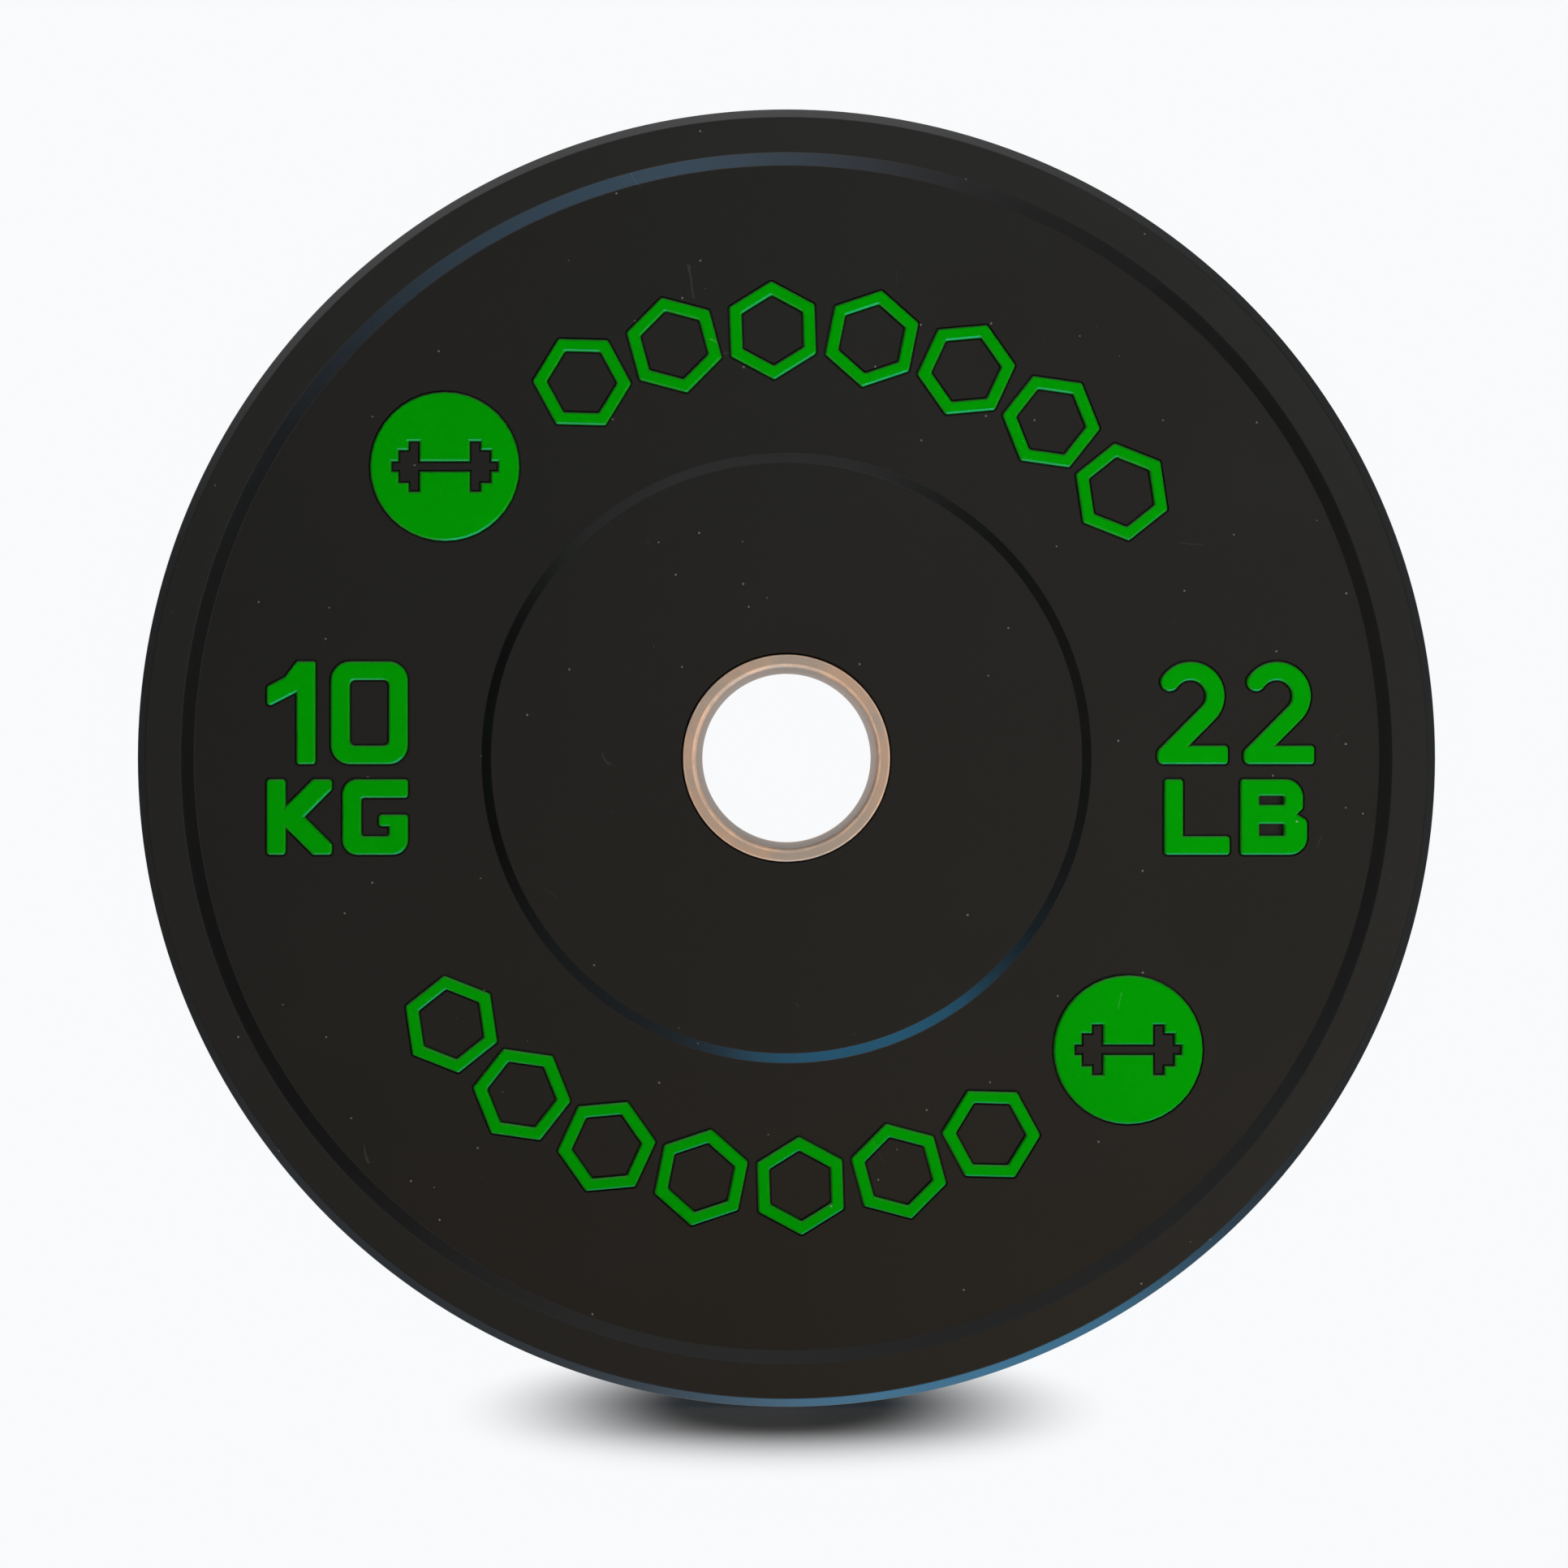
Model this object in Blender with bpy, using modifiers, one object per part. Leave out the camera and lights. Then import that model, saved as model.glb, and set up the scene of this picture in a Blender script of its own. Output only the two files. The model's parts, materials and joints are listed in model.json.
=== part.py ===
"""A rubber weight plate for 50 mm olympic bars, as separate pieces.

The plate stands upright on its tread. Its axis runs along Y and its front face looks along -Y.
The origin is the centre of the bore at mid-thickness. All sizes are in metres, angles in degrees.
"""

import math

import bmesh
import bpy
from mathutils import Matrix, Vector

# Rubber disc
PLATE_DIAMETER = 0.368
PLATE_THICKNESS = 0.066
CHAMFER_WIDTH = 0.0031
CHAMFER_DEPTH = 0.0030
RIM_WIDTH = 0.0098
RIM_SLOPE = 0.0034
FIELD_DEPTH = 0.0025
HUB_DIAMETER = 0.1666
HUB_SLOPE = 0.0030
DISC_STEPS = 72

# Steel sleeve in the bore
BORE_DIAMETER = 0.051
SLEEVE_WALL = 0.00375
SLEEVE_PROUD = 0.0007
SLEEVE_BORE_ROUND = 0.0012
SLEEVE_OUTER_ROUND = 0.0005
SLEEVE_FIT = 0.0003
SLEEVE_STEPS = 64
ROUND_STEPS = 3

# Steel flange that anchors the sleeve in the rubber
FLANGE_THICKNESS = 0.004
FLANGE_FIT = 0.0003
FLANGE_HOLE_COUNT = 8
FLANGE_HOLE_DIAMETER = 0.012
FLANGE_HOLE_WALL = 0.0042
FLANGE_HOLE_STEPS = 16

# Inlays, let into pockets of the field
INLAY_SEAT = 0.0015
INLAY_PROUD = 0.0010
INLAY_FIT = 0.0003

# Digits and letters
DIGIT_HEIGHT = 0.0290
DIGIT_STROKE = 0.0052
DIGIT_GAP = 0.0045
LETTER_HEIGHT = 0.0213
LETTER_STROKE = 0.0052
LETTER_GAP = 0.0031
ROW_GAP = 0.0043
SMALL_ROUND = 0.0009
CORNER_STEPS = 2
LARGE_ROUND = 0.003
LARGE_CORNER_STEPS = 4
BOWL_STEPS = 12
TIP_STEPS = 4

# Rows of hexagon rings
HEXAGON_COUNT = 7
HEXAGON_WIDTH = 0.0240
HEXAGON_STROKE = 0.0033
HEXAGON_GAP = 0.0027
HEXAGON_ROW_ANGLE = 78.5
HEXAGON_ROW_INSET = 0.006

# Badges, each beside the start of a row
BADGE_DIAMETER = 0.042
BADGE_GAP = 0.0106
BADGE_STEPS = 36

# How far cutters and joins run past the faces that they cross
CUT_MARGIN = 0.001
WELD_DISTANCE = 1e-6
MERGE_DISTANCE = 1e-5

# Edges of turned pieces that bend more than this stay sharp
SHARP_ANGLE = 30

# Finishes: linear colour, roughness, metallic
BLACK_RUBBER = ((0.0178, 0.0176, 0.0168), 0.55, 0.0)
GREEN_RUBBER = ((0.001, 0.283, 0.002), 0.5, 0.0)
POLISHED_STEEL = ((0.42, 0.36, 0.31), 0.3, 1.0)
PLAIN_STEEL = ((0.45, 0.45, 0.44), 0.5, 1.0)

# Radii and levels that follow from the sizes above; a level is a distance from the mid-plane
disc_radius = PLATE_DIAMETER / 2
face_level = PLATE_THICKNESS / 2
field_level = face_level - FIELD_DEPTH
rim_inner_radius = disc_radius - CHAMFER_WIDTH - RIM_WIDTH
field_outer_radius = rim_inner_radius - RIM_SLOPE
hub_radius = HUB_DIAMETER / 2
field_inner_radius = hub_radius + HUB_SLOPE
field_middle_radius = (field_inner_radius + field_outer_radius) / 2
bore_radius = BORE_DIAMETER / 2
sleeve_radius = bore_radius + SLEEVE_WALL
sleeve_seat_radius = sleeve_radius + SLEEVE_FIT
flange_hole_circle = sleeve_seat_radius + FLANGE_HOLE_WALL + FLANGE_HOLE_DIAMETER / 2
flange_radius = flange_hole_circle + FLANGE_HOLE_DIAMETER / 2 + FLANGE_HOLE_WALL
hexagon_row_radius = field_middle_radius - HEXAGON_ROW_INSET
flat_inner_end = hexagon_row_radius - HEXAGON_WIDTH / math.sqrt(12)
hexagon_step = 2 * math.degrees(math.atan((HEXAGON_WIDTH + HEXAGON_GAP) / 2 / flat_inner_end))
hexagon_row_end = HEXAGON_ROW_ANGLE + hexagon_step * HEXAGON_COUNT / 2
badge_half_angle = math.degrees(math.asin(BADGE_DIAMETER / 2 / field_middle_radius))
badge_angle = hexagon_row_end + math.degrees(BADGE_GAP / field_middle_radius) + badge_half_angle


def clear_scene():
    """Remove every object that the file starts with."""
    for existing in list(bpy.data.objects):
        bpy.data.objects.remove(existing, do_unlink=True)


def new_collection(name, parent):
    """A collection of this name, linked under another one."""
    made = bpy.data.collections.new(name)
    parent.children.link(made)
    return made


def dress(item, finish):
    """Give an object its own Principled material."""
    colour, roughness, metallic = finish
    material = bpy.data.materials.new(item.name + "_finish")
    material.use_nodes = True
    shader = material.node_tree.nodes["Principled BSDF"]
    shader.inputs["Base Color"].default_value = (*colour, 1)
    shader.inputs["Roughness"].default_value = roughness
    shader.inputs["Metallic"].default_value = metallic
    item.data.materials.append(material)


def add_object(name, data, collection, parent):
    """A new object in a collection, carried by an empty."""
    made = bpy.data.objects.new(name, data)
    made.parent = parent
    collection.objects.link(made)
    return made


def add_empty(name, collection, turn=0.0):
    """An empty at the origin, turned about the vertical axis."""
    made = add_object(name, None, collection, None)
    made.rotation_euler = (0, 0, math.radians(turn))
    return made


def hide(item):
    """Mark an object as a cutter or a join, which isn't a piece itself."""
    item.hide_render = True
    item.display_type = "WIRE"


def add_boolean(item, operation, collection):
    """Cut a collection's objects from an object, or join them to it."""
    boolean = item.modifiers.new(operation.lower(), "BOOLEAN")
    boolean.operation = operation
    boolean.operand_type = "COLLECTION"
    boolean.collection = collection
    boolean.solver = "EXACT"


# Turned pieces


def add_turned(name, profile, steps, collection, parent):
    """A ring turned about the plate's axis, from a closed profile of (radius, level) points.

    The profile runs outwards over the front, down the outer side and back over the rear.
    One facet lies level at the bottom.
    """
    mesh = bpy.data.meshes.new(name)
    edges = [(k, (k + 1) % len(profile)) for k in range(len(profile))]
    mesh.from_pydata([(radius, 0, level) for radius, level in profile], edges, [])
    made = add_object(name, mesh, collection, parent)
    made.rotation_euler = (math.pi / 2, math.pi / steps, 0)
    screw = made.modifiers.new("turn", "SCREW")
    screw.steps = steps
    screw.render_steps = steps
    screw.use_merge_vertices = True
    screw.merge_threshold = MERGE_DISTANCE
    return made


def quarter_round(radius, level, size, outward):
    """Points round a front corner at (radius, level), from inside to outside."""
    start, end = (90, 0) if outward else (180, 90)
    centre = radius - size if outward else radius + size
    angles = [math.radians(start + (end - start) * k / ROUND_STEPS) for k in range(ROUND_STEPS + 1)]
    return [(centre + size * math.cos(a), level - size + size * math.sin(a)) for a in angles]


def mirrored(profile):
    """The front half of a profile, followed by its mirror image at the back."""
    return profile + [(radius, -level) for radius, level in reversed(profile)]


def add_rubber_body(collection, parent):
    """The disc: raised hub, recessed field, raised rim, chamfered tread and the flange's groove."""
    front = [
        (sleeve_seat_radius, face_level),
        (hub_radius, face_level),
        (field_inner_radius, field_level),
        (field_outer_radius, field_level),
        (rim_inner_radius, face_level),
        (disc_radius - CHAMFER_WIDTH, face_level),
        (disc_radius, face_level - CHAMFER_DEPTH),
    ]
    groove_radius = flange_radius + FLANGE_FIT
    groove_level = FLANGE_THICKNESS / 2 + FLANGE_FIT
    groove = [
        (sleeve_seat_radius, -groove_level),
        (groove_radius, -groove_level),
        (groove_radius, groove_level),
        (sleeve_seat_radius, groove_level),
    ]
    body = add_turned("rubber_body", mirrored(front) + groove, DISC_STEPS, collection, parent)
    dress(body, BLACK_RUBBER)
    return body


def add_bore_sleeve(collection, parent):
    """The steel tube that lines the bore, its ends a little proud and its edges rounded."""
    end_level = face_level + SLEEVE_PROUD
    front = quarter_round(bore_radius, end_level, SLEEVE_BORE_ROUND, outward=False)
    front += quarter_round(sleeve_radius, end_level, SLEEVE_OUTER_ROUND, outward=True)
    sleeve = add_turned("bore_sleeve", mirrored(front), SLEEVE_STEPS, collection, parent)
    dress(sleeve, POLISHED_STEEL)


def add_anchor_flange(collection, holes, parent):
    """The steel ring at mid-thickness, with holes that the rubber runs through."""
    half = FLANGE_THICKNESS / 2
    profile = mirrored([(sleeve_seat_radius, half), (flange_radius, half)])
    flange = add_turned("anchor_flange", profile, SLEEVE_STEPS, collection, parent)
    dress(flange, PLAIN_STEEL)
    add_hole_ring("flange_hole", FLANGE_HOLE_DIAMETER / 2, half + CUT_MARGIN, holes, parent)
    add_boolean(flange, "DIFFERENCE", holes)


def add_hole_ring(name, radius, half_length, collection, parent):
    """Cylinders along the plate's axis, one for each hole of the flange."""
    for number in range(1, FLANGE_HOLE_COUNT + 1):
        angle = 2 * math.pi * number / FLANGE_HOLE_COUNT
        mesh = bpy.data.meshes.new(f"{name}_{number}")
        shape = bmesh.new()
        bmesh.ops.create_cone(
            shape,
            cap_ends=True,
            segments=FLANGE_HOLE_STEPS,
            radius1=radius,
            radius2=radius,
            depth=2 * half_length,
        )
        shape.to_mesh(mesh)
        shape.free()
        made = add_object(mesh.name, mesh, collection, parent)
        made.location.x = flange_hole_circle * math.cos(angle)
        made.location.z = flange_hole_circle * math.sin(angle)
        made.rotation_euler.x = math.pi / 2
        hide(made)


def add_rubber_pegs(body, pegs, parent):
    """The rubber that joins both sides of the disc through the flange's holes."""
    radius = FLANGE_HOLE_DIAMETER / 2 - FLANGE_FIT
    half_length = FLANGE_THICKNESS / 2 + FLANGE_FIT + CUT_MARGIN
    add_hole_ring("rubber_peg", radius, half_length, pegs, parent)
    add_boolean(body, "UNION", pegs)


# Outlines. A corner is (x, y, radius); outer loops run counter-clockwise and holes clockwise.


def arc(centre_x, centre_y, radius, start, end, steps):
    """Corners along a circle from one angle to another."""
    angles = [math.radians(start + (end - start) * k / steps) for k in range(steps + 1)]
    return [(centre_x + radius * math.cos(a), centre_y + radius * math.sin(a), 0) for a in angles]


def rounded(corners):
    """The points of a closed outline, with each corner that has a radius turned into an arc."""
    points = []
    for k, (x, y, radius) in enumerate(corners):
        corner = Vector((x, y))
        if radius == 0:
            points.append(corner)
            continue
        back = (Vector(corners[k - 1][:2]) - corner).normalized()
        ahead = (Vector(corners[(k + 1) % len(corners)][:2]) - corner).normalized()
        half_angle = back.angle(ahead) / 2
        centre = corner + (back + ahead).normalized() * radius / math.sin(half_angle)
        first = corner + back * radius / math.tan(half_angle) - centre
        turn = math.pi - 2 * half_angle
        if back.cross(ahead) > 0:
            turn = -turn
        steps = LARGE_CORNER_STEPS if radius > LARGE_ROUND else CORNER_STEPS
        for step in range(steps + 1):
            points.append(centre + Matrix.Rotation(turn * step / steps, 2) @ first)
    return points


def grown(points, distance):
    """An outline moved away from its material's side, mitred at the corners."""
    moved = []
    for k, point in enumerate(points):
        back = (point - points[k - 1]).normalized()
        ahead = (points[(k + 1) % len(points)] - point).normalized()
        out_back = Vector((back.y, -back.x))
        out_ahead = Vector((ahead.y, -ahead.x))
        moved.append(point + (out_back + out_ahead) * distance / (1 + out_back.dot(out_ahead)))
    return moved


def box_corners(left, bottom, right, top, radius):
    """The corners of a rectangle, counter-clockwise."""
    return [(left, bottom, radius), (right, bottom, radius), (right, top, radius), (left, top, radius)]


def digit_one(height, stroke):
    """A 1 with a slanting flag; its width and its loops."""
    width = 0.0136
    flag_slope = math.tan(math.radians(27))
    flag_drop = 0.0086
    flag_bend = 0.0050
    stem_left = width - stroke
    under_flag = height - flag_drop
    flag_bottom = under_flag - stem_left * flag_slope
    flag_top = flag_bottom + stroke / math.cos(math.atan(flag_slope))
    corners = [
        (stem_left, 0, SMALL_ROUND),
        (width, 0, SMALL_ROUND),
        (width, height, SMALL_ROUND / 2),
        (stem_left, height, SMALL_ROUND / 2),
        (flag_bend, flag_top + flag_bend * flag_slope, 0),
        (0, flag_top, SMALL_ROUND),
        (0, flag_bottom, SMALL_ROUND),
        (stem_left, under_flag, 0),
    ]
    return width, [corners]


def digit_zero(height, stroke):
    """A 0 like a rounded box; its width and its loops."""
    width = 0.0216
    outer_round = 0.0054
    inner_round = 0.0016
    outer = box_corners(0, 0, width, height, outer_round)
    inner = box_corners(stroke, stroke, width - stroke, height - stroke, inner_round)
    return width, [outer, inner[::-1]]


def digit_two(height, stroke):
    """A 2 with a round bowl, a slanting back and a flat foot; its width and its loops."""
    width = 0.0199
    bowl_x = 0.00935
    bowl_radius = 0.0096
    tip_angle = 146
    bowl_y = height - bowl_radius
    middle_radius = bowl_radius - stroke / 2
    inner_radius = bowl_radius - stroke
    heel = Vector((stroke / 2 - bowl_x, stroke / 2 - bowl_y))
    back_angle = math.atan2(heel.y, heel.x) + math.acos(middle_radius / heel.length)
    slope = math.tan(back_angle)
    outer_y = bowl_y + bowl_radius * math.sin(back_angle)
    outer_x = bowl_x + bowl_radius * math.cos(back_angle)
    inner_y = bowl_y + inner_radius * math.sin(back_angle)
    inner_x = bowl_x + inner_radius * math.cos(back_angle)
    tip_x = bowl_x + middle_radius * math.cos(math.radians(tip_angle))
    tip_y = bowl_y + middle_radius * math.sin(math.radians(tip_angle))
    start = math.degrees(back_angle)
    corners = [
        (0, inner_y + inner_x / slope, 2 * SMALL_ROUND),
        (0, 0, 2 * SMALL_ROUND),
        (width, 0, SMALL_ROUND),
        (width, stroke, SMALL_ROUND),
        (outer_x + (outer_y - stroke) * slope, stroke, 0),
    ]
    outside = arc(bowl_x, bowl_y, bowl_radius, start, tip_angle, BOWL_STEPS)
    tip = arc(tip_x, tip_y, stroke / 2, tip_angle, tip_angle + 180, TIP_STEPS)
    inside = arc(bowl_x, bowl_y, inner_radius, tip_angle, start, BOWL_STEPS)
    return width, [corners + outside + tip[1:-1] + inside]


def letter_k(height, stroke):
    """A K with arms at 45 degrees; its width and its loops."""
    width = 0.0183
    arm_tip = 0.0029
    crotch = 0.0028
    middle = height / 2
    notch_x = width - middle + arm_tip
    arm_x = stroke + middle - crotch
    corners = [
        (0, 0, SMALL_ROUND),
        (stroke, 0, SMALL_ROUND),
        (stroke, middle - crotch, 0),
        (arm_x, 0, SMALL_ROUND),
        (width, 0, SMALL_ROUND),
        (width, arm_tip, SMALL_ROUND),
        (notch_x, middle, 0),
        (width, height - arm_tip, SMALL_ROUND),
        (width, height, SMALL_ROUND),
        (arm_x, height, SMALL_ROUND),
        (stroke, middle + crotch, 0),
        (stroke, height, SMALL_ROUND),
        (0, height, SMALL_ROUND),
    ]
    return width, [corners]


def letter_g(height, stroke):
    """A square G with a short spur; its width and its loops."""
    width = 0.0184
    outer_round = 0.0042
    spur_length = 0.0081
    mouth_share = 0.44
    foot_share = 0.26
    bar_bottom = height - stroke
    counter = bar_bottom - stroke
    spur_top = bar_bottom - mouth_share * counter
    spur_bottom = stroke + foot_share * counter
    corners = [
        (0, 0, outer_round),
        (width, 0, outer_round),
        (width, spur_top, SMALL_ROUND),
        (width - spur_length, spur_top, SMALL_ROUND),
        (width - spur_length, spur_bottom, SMALL_ROUND),
        (width - stroke, spur_bottom, 0),
        (width - stroke, stroke, SMALL_ROUND),
        (stroke, stroke, SMALL_ROUND),
        (stroke, bar_bottom, SMALL_ROUND),
        (width, bar_bottom, SMALL_ROUND),
        (width, height, SMALL_ROUND),
        (0, height, outer_round),
    ]
    return width, [corners]


def letter_l(height, stroke):
    """An L; its width and its loops."""
    width = 0.0184
    corners = [
        (0, 0, SMALL_ROUND),
        (width, 0, SMALL_ROUND),
        (width, stroke, SMALL_ROUND),
        (stroke, stroke, 0),
        (stroke, height, SMALL_ROUND),
        (0, height, SMALL_ROUND),
    ]
    return width, [corners]


def letter_b(height, stroke):
    """A B with a smaller upper bowl; its width and its loops."""
    width = 0.0188
    upper_width = 0.0176
    waist_depth = 0.0017
    bowl_round = 0.0050
    lower_hole = 0.0034
    upper_hole = 0.0026
    thinner_top = 0.0007
    bar = (height - lower_hole - upper_hole + thinner_top) / 3
    middle_bar = bar + lower_hole
    waist = middle_bar + bar / 2
    upper_start = middle_bar + bar
    corners = [
        (0, 0, SMALL_ROUND),
        (width, 0, bowl_round),
        (width, waist - waist_depth, 2 * SMALL_ROUND),
        (upper_width - waist_depth, waist, 0),
        (upper_width, waist + waist_depth, SMALL_ROUND),
        (upper_width, height, bowl_round),
        (0, height, SMALL_ROUND),
    ]
    lower = box_corners(stroke, bar, upper_width - stroke, middle_bar, 0)
    upper = box_corners(stroke, upper_start, upper_width - stroke, upper_start + upper_hole, 0)
    return width, [corners, lower[::-1], upper[::-1]]


def badge():
    """A disc with a plain dumb-bell shape cut through it."""
    margin = 0.0058
    stub_length = 0.0020
    end_plate_width = 0.0029
    plate_width = 0.0033
    handle_half = 0.0015
    plate_half = 0.0072
    end_plate_half = 0.0047
    end_x = BADGE_DIAMETER / 2 - margin
    end_plate_x = end_x - stub_length
    plate_x = end_plate_x - end_plate_width
    handle_x = plate_x - plate_width
    upper_right = [
        (handle_x, handle_half),
        (handle_x, plate_half),
        (plate_x, plate_half),
        (plate_x, end_plate_half),
        (end_plate_x, end_plate_half),
        (end_plate_x, handle_half),
        (end_x, handle_half),
    ]
    lower_right = [(x, -y) for x, y in reversed(upper_right)]
    left = [(-x, -y) for x, y in upper_right + lower_right]
    cut = [(x, y, 0) for x, y in upper_right + lower_right + left]
    disc = arc(0, 0, BADGE_DIAMETER / 2, 0, 360, BADGE_STEPS)[:-1]
    return [disc, cut]


def hexagon_ring():
    """A ring between two hexagons, with a point towards the rim."""
    outer_radius = HEXAGON_WIDTH / math.sqrt(3)
    inner_radius = (HEXAGON_WIDTH - 2 * HEXAGON_STROKE) / math.sqrt(3)
    outer = arc(0, 0, outer_radius, 90, 450, 6)[:-1]
    inner = arc(0, 0, inner_radius, 90, 450, 6)[:-1]
    return [outer, inner[::-1]]


# Inlays and their pockets


def outline_object(name, loops, thickness, collection, parent):
    """A flat solid: a 2D curve through closed loops, filled and extruded."""
    curve = bpy.data.curves.new(name, "CURVE")
    curve.dimensions = "2D"
    curve.fill_mode = "BOTH"
    curve.extrude = thickness / 2
    for loop in loops:
        spline = curve.splines.new("POLY")
        spline.points.add(len(loop) - 1)
        for target, point in zip(spline.points, loop):
            target.co = (*point, 0, 1)
        spline.use_cyclic_u = True
    return add_object(name, curve, collection, parent)


def as_mesh_object(item, collection):
    """A curve object made into a closed mesh object in its place."""
    bpy.context.view_layer.update()
    name = item.name
    evaluated = item.evaluated_get(bpy.context.evaluated_depsgraph_get())
    mesh = bpy.data.meshes.new_from_object(evaluated)
    shape = bmesh.new()
    shape.from_mesh(mesh)
    bmesh.ops.remove_doubles(shape, verts=shape.verts, dist=WELD_DISTANCE)
    bmesh.ops.recalc_face_normals(shape, faces=shape.faces)
    shape.to_mesh(mesh)
    shape.free()
    placed = item.matrix_world.copy()
    bpy.data.objects.remove(item, do_unlink=True)
    made = add_object(name, mesh, collection, None)
    made.matrix_world = placed
    return made


def place(item, x, level, z, spin):
    """Set a flat outline upright on its face, turned clockwise by spin as the face is seen."""
    item.location = (x, -level, z)
    item.rotation_euler = (math.pi / 2, math.radians(spin), 0)


def add_inlay(name, loops, x, z, spin, face, pieces, pockets):
    """A green inlay on one face, and the cutter for its pocket in the rubber."""
    outlines = [rounded(loop) for loop in loops]
    thickness = INLAY_SEAT + INLAY_PROUD
    inlay = outline_object(f"{face.name}_{name}", outlines, thickness, pieces, face)
    place(inlay, x, field_level - INLAY_SEAT + thickness / 2, z, spin)
    dress(inlay, GREEN_RUBBER)
    floor = field_level - INLAY_SEAT - INLAY_FIT
    depth = face_level + CUT_MARGIN - floor
    wider = [grown(outline, INLAY_FIT) for outline in outlines]
    cutter = outline_object(f"{inlay.name}_pocket", wider, depth, pockets, face)
    place(cutter, x, floor + depth / 2, z, spin)
    hide(as_mesh_object(cutter, pockets))


def add_row(glyphs, height, stroke, gap, centre_x, bottom, face, pieces, pockets):
    """A row of digits or letters, centred sideways and standing on a level."""
    drawn = [(name, *draw(height, stroke)) for name, draw in glyphs]
    total = sum(width for _, width, _ in drawn) + gap * (len(drawn) - 1)
    left = centre_x - total / 2
    for name, width, loops in drawn:
        add_inlay(name, loops, left, bottom, 0, face, pieces, pockets)
        left += width + gap


def add_block(digits, letters, centre_x, face, pieces, pockets):
    """Digits over letters, centred on the plate's middle height."""
    block_height = DIGIT_HEIGHT + ROW_GAP + LETTER_HEIGHT
    bottom = -block_height / 2
    top_row = bottom + LETTER_HEIGHT + ROW_GAP
    add_row(letters, LETTER_HEIGHT, LETTER_STROKE, LETTER_GAP, centre_x, bottom, face, pieces, pockets)
    add_row(digits, DIGIT_HEIGHT, DIGIT_STROKE, DIGIT_GAP, centre_x, top_row, face, pieces, pockets)


def add_badges(face, pieces, pockets):
    """A badge at the upper left, and its match at the lower right."""
    for name, angle in (("badge_upper", badge_angle), ("badge_lower", badge_angle - 180)):
        x = field_middle_radius * math.cos(math.radians(angle))
        z = field_middle_radius * math.sin(math.radians(angle))
        add_inlay(name, badge(), x, z, 0, face, pieces, pockets)


def add_hexagon_rows(face, pieces, pockets):
    """A curved row of hexagon rings at the top, and the same row turned round at the bottom."""
    for row, turn in (("upper", 0), ("lower", 180)):
        for number in range(1, HEXAGON_COUNT + 1):
            angle = turn + hexagon_row_end - hexagon_step * (number - 0.5)
            x = hexagon_row_radius * math.cos(math.radians(angle))
            z = hexagon_row_radius * math.sin(math.radians(angle))
            name = f"{row}_hexagon_{number}"
            add_inlay(name, hexagon_ring(), x, z, 90 - angle, face, pieces, pockets)


def add_markings(face, pieces, pockets):
    """Every inlay of one face."""
    ten = [("digit_1", digit_one), ("digit_0", digit_zero)]
    kilograms = [("letter_k", letter_k), ("letter_g", letter_g)]
    twenty_two = [("digit_2_left", digit_two), ("digit_2_right", digit_two)]
    pounds = [("letter_l", letter_l), ("letter_b", letter_b)]
    add_block(ten, kilograms, -field_middle_radius, face, pieces, pockets)
    add_block(twenty_two, pounds, field_middle_radius, face, pieces, pockets)
    add_badges(face, pieces, pockets)
    add_hexagon_rows(face, pieces, pockets)


def shade_turned(pieces):
    """Shade the turned pieces smooth, keeping their steps and corners sharp."""
    for item in pieces.objects:
        if item.type == "MESH":
            item.data.shade_smooth()
            item.data.set_sharp_from_angle(angle=math.radians(SHARP_ANGLE))


def build():
    """Build the plate."""
    clear_scene()
    scene_collection = bpy.context.scene.collection
    pieces = new_collection("olympic_weight_plate", scene_collection)
    cutters = new_collection("cutters", scene_collection)
    holes = new_collection("flange_holes", cutters)
    pegs = new_collection("rubber_pegs", cutters)
    pockets = new_collection("inlay_pockets", cutters)
    centre = add_empty("plate_centre", pieces)
    body = add_rubber_body(pieces, centre)
    add_bore_sleeve(pieces, centre)
    add_anchor_flange(pieces, holes, centre)
    add_rubber_pegs(body, pegs, centre)
    for name, turn in (("front", 0), ("back", 180)):
        add_markings(add_empty(name, pieces, turn), pieces, pockets)
    add_boolean(body, "DIFFERENCE", pockets)
    shade_turned(pieces)


build()
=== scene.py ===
"""The looks of a rubber weight plate for 50 mm olympic bars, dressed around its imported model.

The plate stands upright on its tread. Its axis runs along Y and its front face looks along -Y.
The origin is the centre of the bore at mid-thickness. Sizes are in metres and angles in degrees.
A level is a distance from the mid-plane, and a radius is a distance from the axis.
"""

from __future__ import annotations

import json
import logging
import math
from collections.abc import Callable
from dataclasses import dataclass, field
from enum import Enum
from typing import Any, NamedTuple

import bmesh
import bpy
from mathutils import Matrix, Vector

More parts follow.
